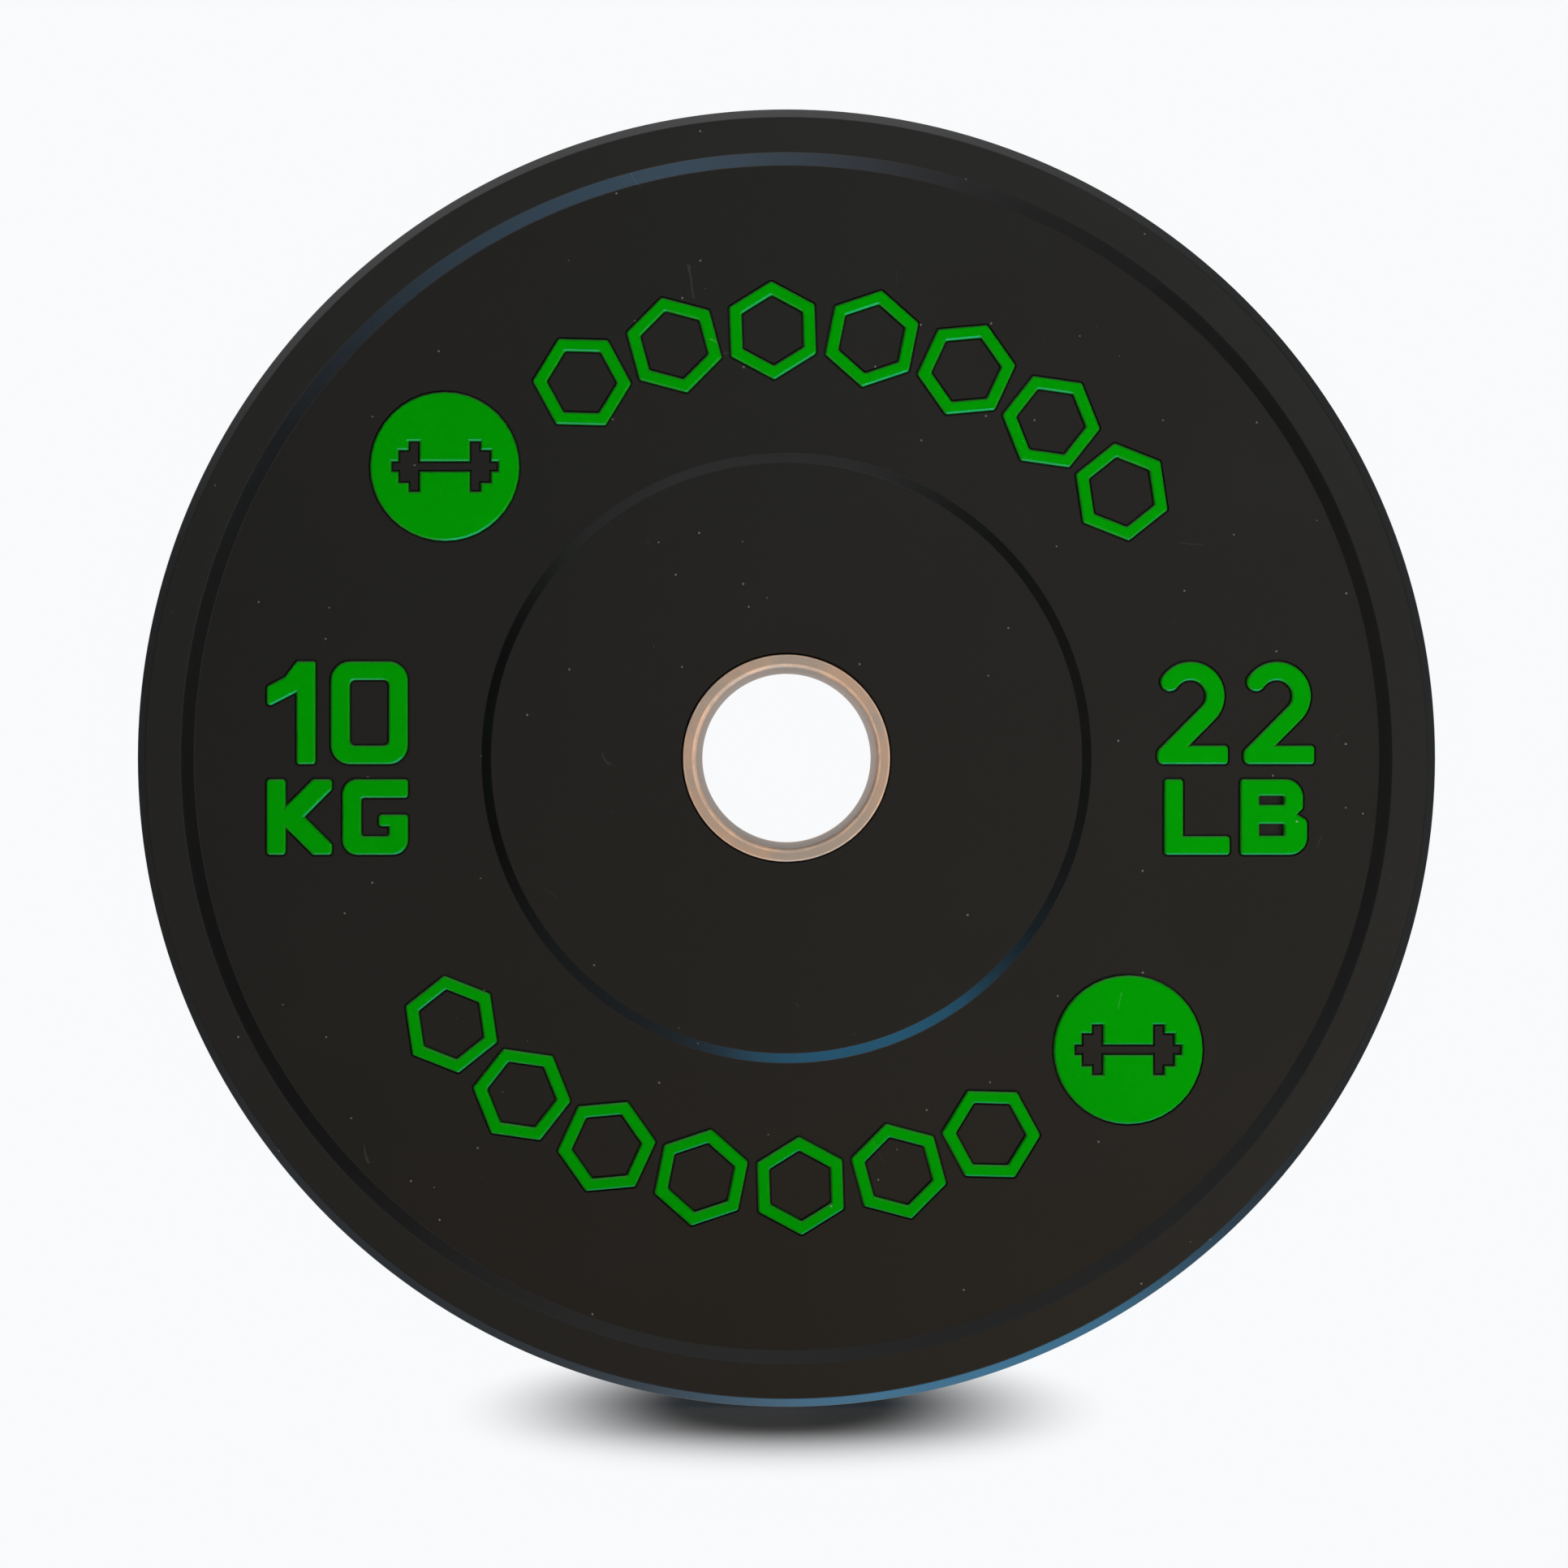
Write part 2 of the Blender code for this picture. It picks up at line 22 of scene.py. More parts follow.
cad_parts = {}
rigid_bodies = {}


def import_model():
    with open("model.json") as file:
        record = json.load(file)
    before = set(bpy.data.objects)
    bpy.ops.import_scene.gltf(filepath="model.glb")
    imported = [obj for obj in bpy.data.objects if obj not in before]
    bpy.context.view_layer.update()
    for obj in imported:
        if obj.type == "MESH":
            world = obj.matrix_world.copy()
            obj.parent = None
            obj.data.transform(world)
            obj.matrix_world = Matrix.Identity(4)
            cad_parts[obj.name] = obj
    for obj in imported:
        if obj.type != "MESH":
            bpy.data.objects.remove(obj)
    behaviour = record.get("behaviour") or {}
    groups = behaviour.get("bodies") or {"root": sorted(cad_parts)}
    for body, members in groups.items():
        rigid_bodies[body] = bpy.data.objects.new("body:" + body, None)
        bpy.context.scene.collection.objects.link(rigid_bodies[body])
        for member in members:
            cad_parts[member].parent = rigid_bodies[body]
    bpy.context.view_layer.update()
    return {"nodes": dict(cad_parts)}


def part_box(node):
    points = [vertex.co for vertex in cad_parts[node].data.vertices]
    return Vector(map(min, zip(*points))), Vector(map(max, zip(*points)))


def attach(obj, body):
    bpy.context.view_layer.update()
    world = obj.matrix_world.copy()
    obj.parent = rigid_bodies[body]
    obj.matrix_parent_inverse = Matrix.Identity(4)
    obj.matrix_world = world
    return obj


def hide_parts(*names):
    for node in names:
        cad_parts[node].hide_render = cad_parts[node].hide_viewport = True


for startup_object in list(bpy.data.objects):
    bpy.data.objects.remove(startup_object, do_unlink=True)

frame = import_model()

BODY = "root"
ARC_STEP = 9.0
SHARP_ANGLE = 35.0
FLAT_FACE_WEIGHT = 100
EDGE_ATTRIBUTE = "worn_edge"
CUT_MARGIN = 0.001

# How squarely a surface faces along the axis where a wall or a slope starts, and where it is full.
WALL_LIMITS = (0.25, 0.02)
SLOPE_BY_FACE = (0.98, 0.85)
SLOPE_BY_WALL = (0.1, 0.4)

Colour = tuple[float, float, float]
Triple = tuple[float, float, float]
Limits = tuple[float, float]
BMesh = bmesh.types.BMesh
Material = bpy.types.Material
Node = bpy.types.Node
NodeTree = bpy.types.NodeTree
Object = bpy.types.Object
Socket = bpy.types.NodeSocket

log = logging.getLogger("weight_plate")


class Face(Enum):
    """A face of the plate. The value is 1 where X runs to the right as the face is seen."""

    FRONT = 1
    BACK = -1


class Corner(NamedTuple):
    """A corner of an outline or a profile, with the radius that rounds it."""

    x: float
    y: float
    round: float = 0.0


class Point(NamedTuple):
    """A point of an outline or a profile, worn by 1 inside a rounded corner and else by 0."""

    x: float
    y: float
    worn: float = 0.0


Loop = list[Corner]


# Outlines. Outer loops run counter-clockwise and holes clockwise.


def loop_of(radius: float, *places: tuple[float, ...]) -> Loop:
    """Corners with one radius, apart from those whose third number is a radius of their own."""
    return [Corner(*place) if len(place) > 2 else Corner(*place, radius) for place in places]


def arc(x: float, y: float, radius: float, start: float, end: float) -> Loop:
    """Corners along a circle, from one angle to another.

    Args:
        x: The centre's x.
        y: The centre's y.
        radius: The circle's radius.
        start: The first corner's angle.
        end: The last corner's angle.

    Returns:
        Corners no further apart than the step of every round stretch.
    """
    steps = max(2, math.ceil(abs(end - start) / ARC_STEP))
    angles = [math.radians(start + (end - start) * k / steps) for k in range(steps + 1)]
    return [Corner(x + radius * math.cos(a), y + radius * math.sin(a)) for a in angles]


def box_loop(left: float, bottom: float, right: float, top: float, radius: float) -> Loop:
    """A rectangle's corners, counter-clockwise."""
    return loop_of(radius, (left, bottom), (right, bottom), (right, top), (left, top))


def rounded(corners: Loop) -> list[Point]:
    """Turn each corner that has a radius into an arc.

    Args:
        corners: A closed loop.

    Returns:
        The loop's points. Those inside an arc count as worn.
    """
    points: list[Point] = []
    for k, (x, y, radius) in enumerate(corners):
        corner = Vector((x, y))
        if radius == 0:
            points.append(Point(x, y))
            continue
        back = (Vector(corners[k - 1][:2]) - corner).normalized()
        ahead = (Vector(corners[(k + 1) % len(corners)][:2]) - corner).normalized()
        half_angle = back.angle(ahead) / 2
        centre = corner + (back + ahead).normalized() * radius / math.sin(half_angle)
        first = corner + back * radius / math.tan(half_angle) - centre
        turn = math.copysign(math.pi - 2 * half_angle, -back.cross(ahead))
        steps = max(2, math.ceil(math.degrees(abs(turn)) / ARC_STEP))
        for step in range(steps + 1):
            place = centre + Matrix.Rotation(turn * step / steps, 2) @ first
            points.append(Point(place.x, place.y, float(0 < step < steps)))
    return points


def grown(points: list[Point], distance: float) -> list[Point]:
    """An outline moved away from its material's side, mitred at the corners."""
    moved = []
    for k, point in enumerate(points):
        here = Vector(point[:2])
        back = (here - Vector(points[k - 1][:2])).normalized()
        ahead = (Vector(points[(k + 1) % len(points)][:2]) - here).normalized()
        out_back = Vector((back.y, -back.x))
        out_ahead = Vector((ahead.y, -ahead.x))
        place = here + (out_back + out_ahead) * distance / (1 + out_back.dot(out_ahead))
        moved.append(Point(place.x, place.y))
    return moved


# Meshes


def radii(node: str) -> tuple[float, float]:
    """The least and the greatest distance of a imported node's corners from the plate's axis."""
    distances = [math.hypot(vertex.co.x, vertex.co.z) for vertex in frame["nodes"][node].data.vertices]
    return min(distances), max(distances)


def half_width(node: str) -> float:
    """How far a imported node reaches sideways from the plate's axis."""
    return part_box(node)[1].x


def end_level(node: str) -> float:
    """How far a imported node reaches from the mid-plane."""
    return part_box(node)[1].y


def new_object(name: str, data: bpy.types.ID) -> Object:
    """A new object with this mesh, lamp or camera, linked to the scene."""
    item = bpy.data.objects.new(name, data)
    bpy.context.scene.collection.objects.link(item)
    return item


def as_object(name: str, shape: BMesh) -> Object:
    """Make a bmesh into an object at the origin.

    Args:
        name: The object's name.
        shape: The mesh, which is freed.

    Returns:
        The new object, linked to the scene.
    """
    bmesh.ops.recalc_face_normals(shape, faces=shape.faces)
    mesh = bpy.data.meshes.new(name)
    shape.to_mesh(mesh)
    shape.free()
    return new_object(name, mesh)


def turned(name: str, profile: Loop, steps: int) -> Object:
    """A ring turned about the plate's axis.

    Args:
        name: The object's name.
        profile: A closed loop of radius and level, where the front's levels are positive.
        steps: The number of facets round the ring.

    Returns:
        The ring, whose edge attribute is 1 along its rounded corners.
    """
    shape = bmesh.new()
    wear = shape.verts.layers.float.new(EDGE_ATTRIBUTE)
    points = rounded(profile)
    rings = []
    for step in range(steps):
        angle = 2 * math.pi * step / steps
        ring = [shape.verts.new((p.x * math.sin(angle), -p.y, -p.x * math.cos(angle))) for p in points]
        for vertex, point in zip(ring, points):
            vertex[wear] = point.worn
        rings.append(ring)
    for k, ring in enumerate(rings):
        join_rings(shape, rings[k - 1], ring)
    return as_object(name, shape)


def join_rings(shape: BMesh, one: list, other: list) -> None:
    """Make faces between two closed rings of as many vertices."""
    for k in range(len(one)):
        shape.faces.new((one[k - 1], one[k], other[k], other[k - 1]))


def flat_solid(
    name: str, loops: list[list[Point]], bottom: float, top: float, bevel: float, face: Face
) -> Object:
    """A flat solid on a face of the plate, with bevelled upper edges.

    Args:
        name: The object's name.
        loops: The outline's points, in the face's own x and height.
        bottom: The lower level.
        top: The upper level.
        bevel: The width of the bevel, or 0 for a sharp solid.
        face: The face that it is on.

    Returns:
        The solid.
    """
    shape = bmesh.new()
    layers = [(0.0, bottom), (0.0, top - bevel)]
    if bevel:
        layers.append((bevel, top))
    caps: dict[float, list] = {bottom: [], top: []}
    for loop in loops:
        rings = []
        for inset, level in layers:
            places = [(face.value * p.x, -face.value * level, p.y) for p in grown(loop, -inset)]
            rings.append([shape.verts.new(place) for place in places])
        for lower, upper in zip(rings, rings[1:]):
            join_rings(shape, lower, upper)
        for level, ring in ((bottom, rings[0]), (top, rings[-1])):
            caps[level] += [shape.edges.get((ring[k - 1], ring[k])) for k in range(len(ring))]
    for edges in caps.values():
        bmesh.ops.triangle_fill(shape, edges=edges, use_beauty=True)
    return as_object(name, shape)


def cut_and_join(body: Object, cutters: list, joins: list) -> None:
    """Join solids to a body, cut others from it, and delete them all.

    Args:
        body: The object that keeps the result in its own mesh.
        cutters: The objects to cut off.
        joins: The objects to join before that.
    """
    for operation, tools in (("UNION", joins), ("DIFFERENCE", cutters)):
        collection = bpy.data.collections.new(operation.lower())
        for tool in tools:
            collection.objects.link(tool)
        boolean = body.modifiers.new(operation.lower(), "BOOLEAN")
        boolean.operation = operation
        boolean.operand_type = "COLLECTION"
        boolean.collection = collection
        boolean.solver = "EXACT"
    graph = bpy.context.evaluated_depsgraph_get()
    result = bpy.data.meshes.new_from_object(body.evaluated_get(graph))
    body.modifiers.clear()
    body.data = result
    for tool in cutters + joins:
        bpy.data.objects.remove(tool, do_unlink=True)


def smooth(item: Object) -> None:
    """Shade round stretches smooth and keep flat faces flat."""
    item.data.shade_smooth()
    item.data.set_sharp_from_angle(angle=math.radians(SHARP_ANGLE))
    weighted = item.modifiers.new("flat_faces", "WEIGHTED_NORMAL")
    weighted.weight = FLAT_FACE_WEIGHT
    weighted.keep_sharp = True


def mount(item: Object, node: str, material: Material) -> None:
    """Finish a piece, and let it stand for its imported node.

    Args:
        item: The piece.
        node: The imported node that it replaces.
        material: The piece's finish.
    """
    smooth(item)
    item.data.materials.clear()
    item.data.materials.append(material)
    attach(item, BODY)
    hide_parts(node)
    log.info("%s stands for %s: %d faces", item.name, node, len(item.data.polygons))


# Shader nodes


class Nodes:
    """Adds nodes to a tree and joins them."""

    def __init__(self, tree: NodeTree) -> None:
        """Work on this tree."""
        self.tree = tree

    def add(self, kind: str, inputs: dict | None = None, **settings) -> Node:
        """Add a node.

        Args:
            kind: The node's type.
            inputs: Values or sockets, by the input's name or number.
            **settings: The node's own properties.

        Returns:
            The node.
        """
        node = self.tree.nodes.new(kind)
        for name, value in settings.items():
            setattr(node, name, value)
        self.feed(node, inputs or {})
        return node

    def feed(self, node: Node, inputs: dict) -> None:
        """Join a node's inputs to sockets, or give them plain values."""
        for key, value in inputs.items():
            if isinstance(value, Socket):
                self.tree.links.new(value, node.inputs[key])
            else:
                node.inputs[key].default_value = value

    def math(self, operation: str, *values: float | Socket) -> Socket:
        """A Math node's result."""
        return self.add("ShaderNodeMath", dict(enumerate(values)), operation=operation).outputs[0]

    def times(self, one, other) -> Socket:
        """The product of two values."""
        return self.math("MULTIPLY", one, other)

    def vector(self, operation: str, *values, result: str = "Vector") -> Socket:
        """A Vector Math node's result."""
        inputs = dict(enumerate(values))
        return self.add("ShaderNodeVectorMath", inputs, operation=operation).outputs[result]

    def ramp(self, value, low: float, high: float, start: float = 0, end: float = 1):
        """A value eased from one range to another.

        Args:
            value: The socket to read.
            low: The value that gives start.
            high: The value that gives end.
            start: The result at low.
            end: The result at high.

        Returns:
            The result's socket.
        """
        inputs = {"Value": value, "From Min": low, "From Max": high, "To Min": start, "To Max": end}
        return self.add("ShaderNodeMapRange", inputs, interpolation_type="SMOOTHSTEP").outputs[0]

    def mix(self, share, one, other) -> Socket:
        """A colour between two others, by the share of the second."""
        one, other = [(*c, 1) if isinstance(c, tuple) else c for c in (one, other)]
        inputs = {0: share, 6: one, 7: other}
        return self.add("ShaderNodeMix", inputs, data_type="RGBA").outputs[2]

    def noise(self, position, scale, detail: float = 2.0, roughness: float = 0.5):
        """A noise texture's value."""
        inputs = {"Vector": position, "Scale": scale, "Detail": detail, "Roughness": roughness}
        return self.add("ShaderNodeTexNoise", inputs).outputs["Fac"]

    def position(self) -> Socket:
        """The place on the piece, in the plate's own frame."""
        return self.add("ShaderNodeTexCoord").outputs["Object"]

    def worn_edge(self) -> Socket:
        """The edge attribute."""
        return self.add("ShaderNodeAttribute", attribute_name=EDGE_ATTRIBUTE).outputs["Fac"]

    def facing(self) -> Socket:
        """1 on the plate's faces and 0 on walls that run along its axis."""
        normal = self.add("ShaderNodeTexCoord").outputs["Normal"]
        return self.math("ABSOLUTE", self.add("ShaderNodeSeparateXYZ", {0: normal}).outputs["Y"])

    def walls(self) -> Socket:
        """1 where a surface runs along the plate's axis, and 0 on its faces and slopes."""
        return self.ramp(self.facing(), *WALL_LIMITS)

    def slopes(self) -> Socket:
        """1 where a surface leans between the plate's faces and its walls."""
        facing = self.facing()
        by_face = self.ramp(facing, *SLOPE_BY_FACE)
        return self.times(by_face, self.ramp(facing, *SLOPE_BY_WALL))

    def radius(self, position: Socket) -> Socket:
        """The distance of a place from the plate's axis."""
        return self.vector("LENGTH", self.vector("MULTIPLY", position, (1, 0, 1)), result="Value")

    def effect(self, group: NodeTree, place: Socket, **inputs) -> Socket:
        """A shared effect's output at a place, with some of its inputs changed."""
        return self.add("ShaderNodeGroup", {"Position": place, **inputs}, node_tree=group).outputs[0]


def new_effect(name: str, inputs: dict[str, float], output: str) -> tuple[Nodes, Any, Callable]:
    """Start a shader node group that more than one finish uses.

    Args:
        name: The group's name.
        inputs: Its number inputs with their defaults. A Position input comes first.
        output: The name of its one output.

    Returns:
        The group's nodes, its inputs' sockets and a function that takes the result's socket.
    """
    tree = bpy.data.node_groups.new(name, "ShaderNodeTree")
    tree.interface.new_socket("Position", in_out="INPUT", socket_type="NodeSocketVector")
    for label, default in inputs.items():
        socket = tree.interface.new_socket(label, in_out="INPUT", socket_type="NodeSocketFloat")
        socket.default_value = default
    tree.interface.new_socket(output, in_out="OUTPUT", socket_type="NodeSocketFloat")
    nodes = Nodes(tree)
    given = nodes.add("NodeGroupInput").outputs
    target = nodes.add("NodeGroupOutput")
    return nodes, given, lambda result: nodes.feed(target, {0: result})


class Effects:
    """The shader node groups that the finishes share, each built once."""

    WIDE_GRAIN = 0.12
    PATCH_LIMITS = (0.36, 0.64)
    LINE_LEVEL = 0.5
    OTHER_PLACE = (3.7, 1.9, 5.3)
    RUB_LIMITS = (0.35, 0.7)
    LEAST_RUB = 0.15
    MARK_PATCHES = 700.0

    def __init__(self) -> None:
        """Build every group."""
        self.grain = self.build_grain()
        self.patches = self.build_patches()
        self.specks = self.build_specks()
        self.hairlines = self.build_hairlines()
        self.rubbed_edge = self.build_rubbed_edge()
        self.turning_marks = self.build_turning_marks()

    def build_grain(self) -> NodeTree:
        """A fine, even grain, as a height."""
        nodes, given, finish = new_effect("fine_grain", {"Scale": 900.0, "Unevenness": 0.4}, "Height")
        fine = nodes.noise(given["Position"], given["Scale"], 3.0, 0.6)
        wide_scale = nodes.times(given["Scale"], self.WIDE_GRAIN)
        wide = nodes.times(nodes.noise(given["Position"], wide_scale), given["Unevenness"])
        finish(nodes.math("ADD", fine, wide))
        return nodes.tree

    def build_patches(self) -> NodeTree:
        """Soft, wide patches, as a mask."""
        nodes, given, finish = new_effect("soft_patches", {"Scale": 12.0}, "Mask")
        value = nodes.noise(given["Position"], given["Scale"], 3.0, 0.55)
        finish(nodes.ramp(value, *self.PATCH_LIMITS))
        return nodes.tree

    def build_specks(self) -> NodeTree:
        """Scattered specks of dust, as a mask."""
        inputs = {"Scale": 160.0, "Size": 0.05, "Share": 0.2}
        nodes, given, finish = new_effect("dust_specks", inputs, "Mask")
        spread = {"Vector": given["Position"], "Scale": given["Scale"]}
        cells = nodes.add("ShaderNodeTexVoronoi", spread)
        near = nodes.math("LESS_THAN", cells.outputs["Distance"], given["Size"])
        chance = nodes.add("ShaderNodeSeparateColor", {0: cells.outputs["Color"]}).outputs[0]
        chosen = nodes.math("LESS_THAN", chance, given["Share"])
        finish(nodes.times(near, chosen))
        return nodes.tree

    def build_hairlines(self) -> NodeTree:
        """Short curved hairlines, left by lint and light scuffs, as a mask."""
        inputs = {"Scale": 45.0, "Width": 0.0025, "Share": 0.3}
        nodes, given, finish = new_effect("hairlines", inputs, "Mask")
        position = given["Position"]
        value = nodes.noise(position, given["Scale"], 0.0)
        away = nodes.math("ABSOLUTE", nodes.math("SUBTRACT", value, self.LINE_LEVEL))
        line = nodes.math("LESS_THAN", away, given["Width"])
        moved = nodes.vector("ADD", position, self.OTHER_PLACE)
        where = nodes.noise(moved, given["Scale"], 1.0)
        limit = nodes.math("SUBTRACT", 1.0, given["Share"])
        finish(nodes.times(line, nodes.math("GREATER_THAN", where, limit)))
        return nodes.tree

    def build_rubbed_edge(self) -> NodeTree:
        """Wear along rounded edges, broken up by noise, as a mask."""
        inputs = {"Edge": 0.0, "Scale": 220.0}
        nodes, given, finish = new_effect("rubbed_edge", inputs, "Mask")
        value = nodes.noise(given["Position"], given["Scale"], 4.0, 0.65)
        broken = nodes.ramp(value, *self.RUB_LIMITS, self.LEAST_RUB, 1)
        finish(nodes.times(given["Edge"], broken))
        return nodes.tree

    def build_turning_marks(self) -> NodeTree:
        """Fine grooves round the plate's axis, as a lathe leaves them, as a height."""
        nodes, given, finish = new_effect("turning_marks", {"Scale": 5200.0, "Wander": 0.15}, "Height")
        position = given["Position"]
        along = nodes.add("ShaderNodeSeparateXYZ", {0: position}).outputs["Y"]
        across = nodes.math("ADD", nodes.radius(position), nodes.math("ABSOLUTE", along))
        inputs = {"W": across, "Scale": given["Scale"], "Detail": 2.0}
        line = nodes.add("ShaderNodeTexNoise", inputs, noise_dimensions="1D")
        patches = nodes.times(nodes.noise(position, self.MARK_PATCHES), given["Wander"])
        finish(nodes.math("ADD", line.outputs["Fac"], patches))
        return nodes.tree


# Finishes


def new_material(name: str) -> tuple[Material, Nodes, Node]:
    """A material with its nodes and its Principled shader."""
    material = bpy.data.materials.new(name)
    material.use_nodes = True
    return material, Nodes(material.node_tree), material.node_tree.nodes["Principled BSDF"]


def bump(nodes: Nodes, height: Socket, distance: float) -> Socket:
    """A normal that rises with a height, by a distance for each unit of it."""
    return nodes.add("ShaderNodeBump", {"Height": height, "Distance": distance}).outputs["Normal"]


@dataclass(frozen=True)
class MouldedRubber:
    """Satin moulded rubber with faint patches, dust, lint, rubbed edges and a scuffed rim."""

    name: str
    colour: Colour
    patch_colour: Colour
    rubbed_colour: Colour
    scuffed_colour: Colour = (0.0078, 0.0081, 0.0079)
    scuff_start: float = 0.1700
    scuff_full: float = 0.1712
    dust_colour: Colour = (0.16, 0.15, 0.14)
    roughness: float = 0.38
    specular: float = 0.5
    patch_scale: float = 9.0
    patch_polish: float = 0.04
    patch_dulling: float = 0.05
    dust_share: float = 0.35
    dust_cover: float = 0.8
    dust_dulling: float = 0.3
    hair_cover: float = 0.12
    rubbed: float = 0.5
    slope_coat: float = 0.3
    coat_roughness: float = 0.32
    coat_ior: float = 1.5
    tread_roughness: float = 0.85
    grain_height: float = 0.00002

    def material(self, effects: Effects) -> Material:
        """Build the material from the shared effects."""
        material, nodes, shader = new_material(self.name)
        place = nodes.position()
        patches = nodes.effect(effects.patches, place, Scale=self.patch_scale)
        edge = nodes.effect(effects.rubbed_edge, place, Edge=nodes.worn_edge())
        dust = nodes.effect(effects.specks, place, Share=self.dust_share)
        hairs = nodes.effect(effects.hairlines, place)
        grain = nodes.effect(effects.grain, place)
        colour = nodes.mix(patches, self.colour, self.patch_colour)
        scuffed = nodes.ramp(nodes.radius(place), self.scuff_start, self.scuff_full)
        colour = nodes.mix(scuffed, colour, self.scuffed_colour)
        colour = nodes.mix(nodes.times(edge, self.rubbed), colour, self.rubbed_colour)
        colour = nodes.mix(nodes.times(hairs, self.hair_cover), colour, self.dust_colour)
        colour = nodes.mix(nodes.times(dust, self.dust_cover), colour, self.dust_colour)
        polished = self.roughness - self.patch_polish
        rough = nodes.ramp(patches, 0, 1, polished, self.roughness + self.patch_dulling)
        rough = nodes.math("ADD", rough, nodes.times(dust, self.dust_dulling))
        spare = nodes.times(nodes.walls(), self.tread_roughness - self.roughness)
        rough = nodes.math("ADD", rough, spare)
        inputs = {
            "Base Color": colour,
            "Roughness": rough,
            "Specular IOR Level": self.specular,
            "Coat Weight": nodes.times(nodes.slopes(), self.slope_coat),
            "Coat Roughness": self.coat_roughness,
            "Coat IOR": self.coat_ior,
            "Normal": bump(nodes, grain, self.grain_height),
        }
        nodes.feed(shader, inputs)
        return material


@dataclass(frozen=True)
class TurnedMetal:
    """Metal with fine turning marks, a patchy tone, rounded edges brightened partly as wear and partly
    as a painted highlight, and walls that can be painted darker as painted shade.
    """

    name: str
    colour: Colour
    patch_colour: Colour
    rubbed_and_painted_highlight_colour: Colour
    roughness: float = 0.36
    metallic: float = 1.0
    edge_metallic: float = 1.0
    # Painted shade for walls along the axis, or None for none.
    wall_painted_shade_colour: Colour | None = None
    wall_roughness: float = 0.5
    patch_scale: float = 60.0
    speck_scale: float = 420.0
    speck_cover: float = 0.5
    mark_height: float = 0.000006
    mark_limits: Limits = (0.3, 0.8)
    mark_polish: float = 0.08
    mark_dulling: float = 0.1
    rubbed: float = 0.7

    def material(self, effects: Effects) -> Material:
        """Build the material from the shared effects."""
        material, nodes, shader = new_material(self.name)
        place = nodes.position()
        patches = nodes.effect(effects.patches, place, Scale=self.patch_scale)
        edge = nodes.effect(effects.rubbed_edge, place, Edge=nodes.worn_edge())
        marks = nodes.effect(effects.turning_marks, place)
        specks = nodes.effect(effects.specks, place, Scale=self.speck_scale)
        colour = nodes.mix(patches, self.colour, self.patch_colour)
        # Rounded edges get a brighter colour: partly wear, partly a painted highlight for the bright
        # line along the lips.
        colour = nodes.mix(nodes.times(edge, self.rubbed), colour, self.rubbed_and_painted_highlight_colour)
        colour = nodes.mix(nodes.times(specks, self.speck_cover), colour, self.patch_colour)
        polished = self.roughness - self.mark_polish
        rough = nodes.ramp(marks, *self.mark_limits, polished, self.roughness + self.mark_dulling)
        metallic = nodes.ramp(nodes.worn_edge(), 0, 1, self.metallic, self.edge_metallic)
        # Walls along the axis, such as the bore's, take a darker colour: painted shade for the inside of
        # the tube.
        if self.wall_painted_shade_colour:
            wall = nodes.walls()
            colour = nodes.mix(wall, colour, self.wall_painted_shade_colour)
            spare = nodes.times(wall, self.wall_roughness - self.roughness)
            rough = nodes.math("ADD", rough, spare)
        normal = bump(nodes, marks, self.mark_height)
        inputs = {"Base Color": colour, "Metallic": metallic, "Roughness": rough, "Normal": normal}
        nodes.feed(shader, inputs)
        return material


BLACK_RUBBER = MouldedRubber(
    name="black_rubber",
    colour=(0.0048, 0.0050, 0.0048),
    patch_colour=(0.0056, 0.0054, 0.0049),
    rubbed_colour=(0.014, 0.0135, 0.013),
)
GREEN_RUBBER = MouldedRubber(
    name="green_rubber",
    colour=(0.0004, 0.300, 0.0006),
    patch_colour=(0.0006, 0.285, 0.001),
    rubbed_colour=(0.004, 0.33, 0.03),
    dust_colour=(0.20, 0.40, 0.20),
    roughness=0.5,
    specular=0.02,
    slope_coat=1.0,
    coat_ior=1.7,
    dust_share=0.08,
    rubbed=0.6,
)
BRONZED_STEEL = TurnedMetal(
    name="bronzed_steel",
    colour=(0.68, 0.45, 0.32),
    patch_colour=(0.52, 0.42, 0.34),
    # The rounded edges' colour: partly wear, partly a painted highlight along the bore's lips.
    rubbed_and_painted_highlight_colour=(1.0, 0.62, 0.40),
    metallic=0.5,
    edge_metallic=0.2,
    # The bore's wall: painted shade for the inside of the tube.
    wall_painted_shade_colour=(0.40, 0.30, 0.23),
)
ZINC_STEEL = TurnedMetal(
    name="zinc_steel",
    colour=(0.48, 0.48, 0.46),
    patch_colour=(0.38, 0.39, 0.40),
    rubbed_and_painted_highlight_colour=(0.65, 0.65, 0.62),
    roughness=0.5,
)


# The pieces


